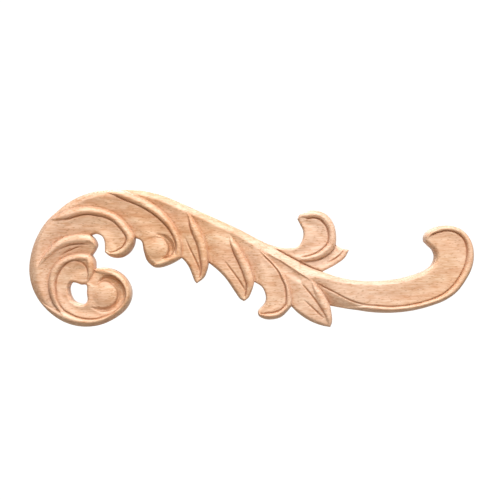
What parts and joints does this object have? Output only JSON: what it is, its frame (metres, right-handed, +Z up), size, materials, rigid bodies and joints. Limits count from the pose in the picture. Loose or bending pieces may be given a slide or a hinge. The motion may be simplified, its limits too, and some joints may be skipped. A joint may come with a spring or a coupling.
{
  "type": "carved wood applique",
  "caption": "Long carved acanthus scroll with a volute at one end, hanging leaves and an open curl at the other, flat at the back for fixing to a surface.",
  "frame": {"origin": "on the flat back, at the middle of the outline's length and height", "axes": "+X along the scroll from the volute to the open curl, +Z up as it is fixed to a wall, and the flat back faces +Y while the carved front faces -Y"},
  "size_m": [0.3301, 0.0139, 0.102],
  "materials": {
    "wood": "pale fine-pored hardwood, sanded and left unfinished"
  },
  "bodies": {
    "root": {"carved_scroll": "wood"}
  },
  "joints": []
}
